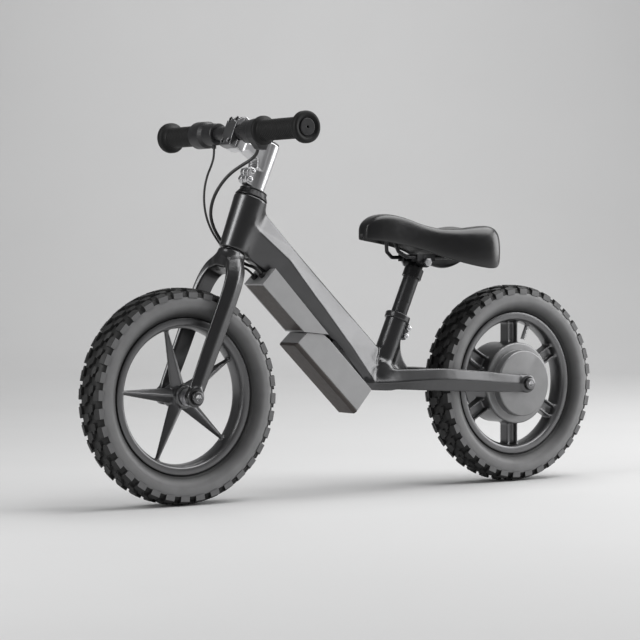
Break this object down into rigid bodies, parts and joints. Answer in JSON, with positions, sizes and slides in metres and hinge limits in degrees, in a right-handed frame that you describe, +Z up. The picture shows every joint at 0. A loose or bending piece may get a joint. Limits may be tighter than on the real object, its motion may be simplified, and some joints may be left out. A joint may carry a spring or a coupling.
{
  "type": "electric balance bike",
  "caption": "Small child's electric balance bike: cast frame, steering fork, star-spoked front wheel, hub-motor rear wheel, low saddle, twist throttle and knobbly tyres.",
  "frame": {"origin": "on the ground midway between the two wheel contact points, in the centre plane", "axes": "+X forward, +Y to the rider's left, +Z up"},
  "size_m": [0.953, 0.37, 0.5721],
  "materials": {
    "frame_paint": "satin gunmetal metallic paint",
    "fork_paint": "satin gunmetal metallic paint",
    "rim_graphite": "satin graphite paint on cast alloy",
    "motor_cover": "fine satin grey metallic",
    "stem_silver": "brushed and clear-anodised",
    "black_alloy": "satin black anodised",
    "steel_bright": "bright zinc-plated steel",
    "steel_plain": "turned steel",
    "tyre_rubber": "matt rubber, slightly dusty sidewall",
    "tube_rubber": "butyl rubber",
    "grip_rubber": "matt soft rubber",
    "black_plastic": "moulded black plastic",
    "box_grey": "satin grey coated extrusion",
    "box_underside": "dark brown-grey moulded plastic",
    "saddle_skin": "soft-gloss black synthetic leather",
    "cable_jacket": "smooth PVC jacket",
    "copper": "enamelled copper winding",
    "magnet": "nickel-plated magnets in a steel ring",
    "circuit": "solder-masked board",
    "cell_wrap": "shrink-wrapped cell"
  },
  "bodies": {
    "frame": {"main_frame": "frame_paint", "head_bearings": "steel_plain", "seat_clamp": "frame_paint", "seat_clamp_bolts": "steel_bright", "controller_case": "box_grey", "controller_cover": "box_underside", "controller_board": "circuit", "cable_glands": "black_plastic", "battery_case": "box_grey", "battery_cover": "box_underside", "battery_cells": "cell_wrap", "battery_board": "circuit", "battery_rail": "black_alloy", "rear_axle": "steel_plain", "motor_stator": "steel_plain", "motor_windings": "copper", "rear_spacers": "steel_plain", "rear_axle_washers": "black_alloy", "rear_axle_bolts": "steel_bright"},
    "steering": {"fork": "fork_paint", "crown_race": "steel_plain", "front_axle": "steel_plain", "front_spacers": "steel_bright", "front_axle_washers": "black_alloy", "front_axle_bolts": "steel_bright", "headset_cover": "black_alloy", "stem": "stem_silver", "bar_cap": "black_alloy", "bar_cap_bolts": "black_alloy", "stem_pinch_bolts": "steel_bright", "stem_top_cap": "black_plastic", "handlebar": "black_alloy", "left_grip": "grip_rubber", "bar_end_plugs": "black_plastic", "throttle_housing": "black_plastic", "lever_housing": "black_plastic", "lever_cable": "cable_jacket", "throttle_cable": "cable_jacket"},
    "front_wheel": {"front_tyre": "tyre_rubber", "front_inner_tube": "tube_rubber", "front_rim": "rim_graphite", "front_hub_bearings": "steel_plain", "front_valve": "steel_bright"},
    "rear_wheel": {"rear_tyre": "tyre_rubber", "rear_inner_tube": "tube_rubber", "rear_rim": "rim_graphite", "motor_cover_left": "motor_cover", "motor_cover_right": "motor_cover", "motor_bearings": "steel_plain", "motor_magnet_ring": "magnet", "rear_valve": "steel_bright"},
    "throttle": {"throttle_grip": "grip_rubber"},
    "lever": {"thumb_lever": "black_plastic"},
    "seat_post_body": {"seat_post": "black_alloy", "saddle_clamp": "black_alloy", "saddle_clamp_bolt": "steel_plain"},
    "saddle": {"saddle_clamp_cheeks": "black_alloy", "saddle_pad": "saddle_skin", "saddle_base": "black_plastic", "saddle_rails": "black_alloy"}
  },
  "joints": [
    {"name": "steer", "type": "hinge", "parent": "frame", "child": "steering", "pos_m": [0.2227, 0, 0.372], "axis": [-0.3907, 0, 0.9205], "range_deg": [-50, 50], "deforming": ["lever_cable", "throttle_cable"]},
    {"name": "front_wheel_spin", "type": "hinge", "parent": "steering", "child": "front_wheel", "pos_m": [0.3175, 0, 0.159], "axis": [0, 1, 0], "continuous": true},
    {"name": "rear_wheel_spin", "type": "hinge", "parent": "frame", "child": "rear_wheel", "pos_m": [-0.3175, 0, 0.159], "axis": [0, 1, 0], "continuous": true},
    {"name": "throttle_twist", "type": "hinge", "parent": "steering", "child": "throttle", "pos_m": [0.2171, 0, 0.5474], "axis": [0, -1, 0], "range_deg": [0, 65], "stiffness_Nm_per_rad": 0.12, "springref_deg": -28.65},
    {"name": "thumb_lever_press", "type": "hinge", "parent": "steering", "child": "lever", "pos_m": [0.2171, 0, 0.5474], "axis": [0, -1, 0], "range_deg": [0, 28], "stiffness_Nm_per_rad": 0.15, "springref_deg": -28.65},
    {"name": "seat_height", "type": "slide", "parent": "frame", "child": "seat_post_body", "axis": [-0.4067, 0, 0.9135], "range_m": [-0.04, 0.02]},
    {"name": "saddle_tilt", "type": "hinge", "parent": "seat_post_body", "child": "saddle", "pos_m": [-0.12602, 0, 0.35485], "axis": [0, 1, 0], "range_deg": [-8, 8]}
  ]
}
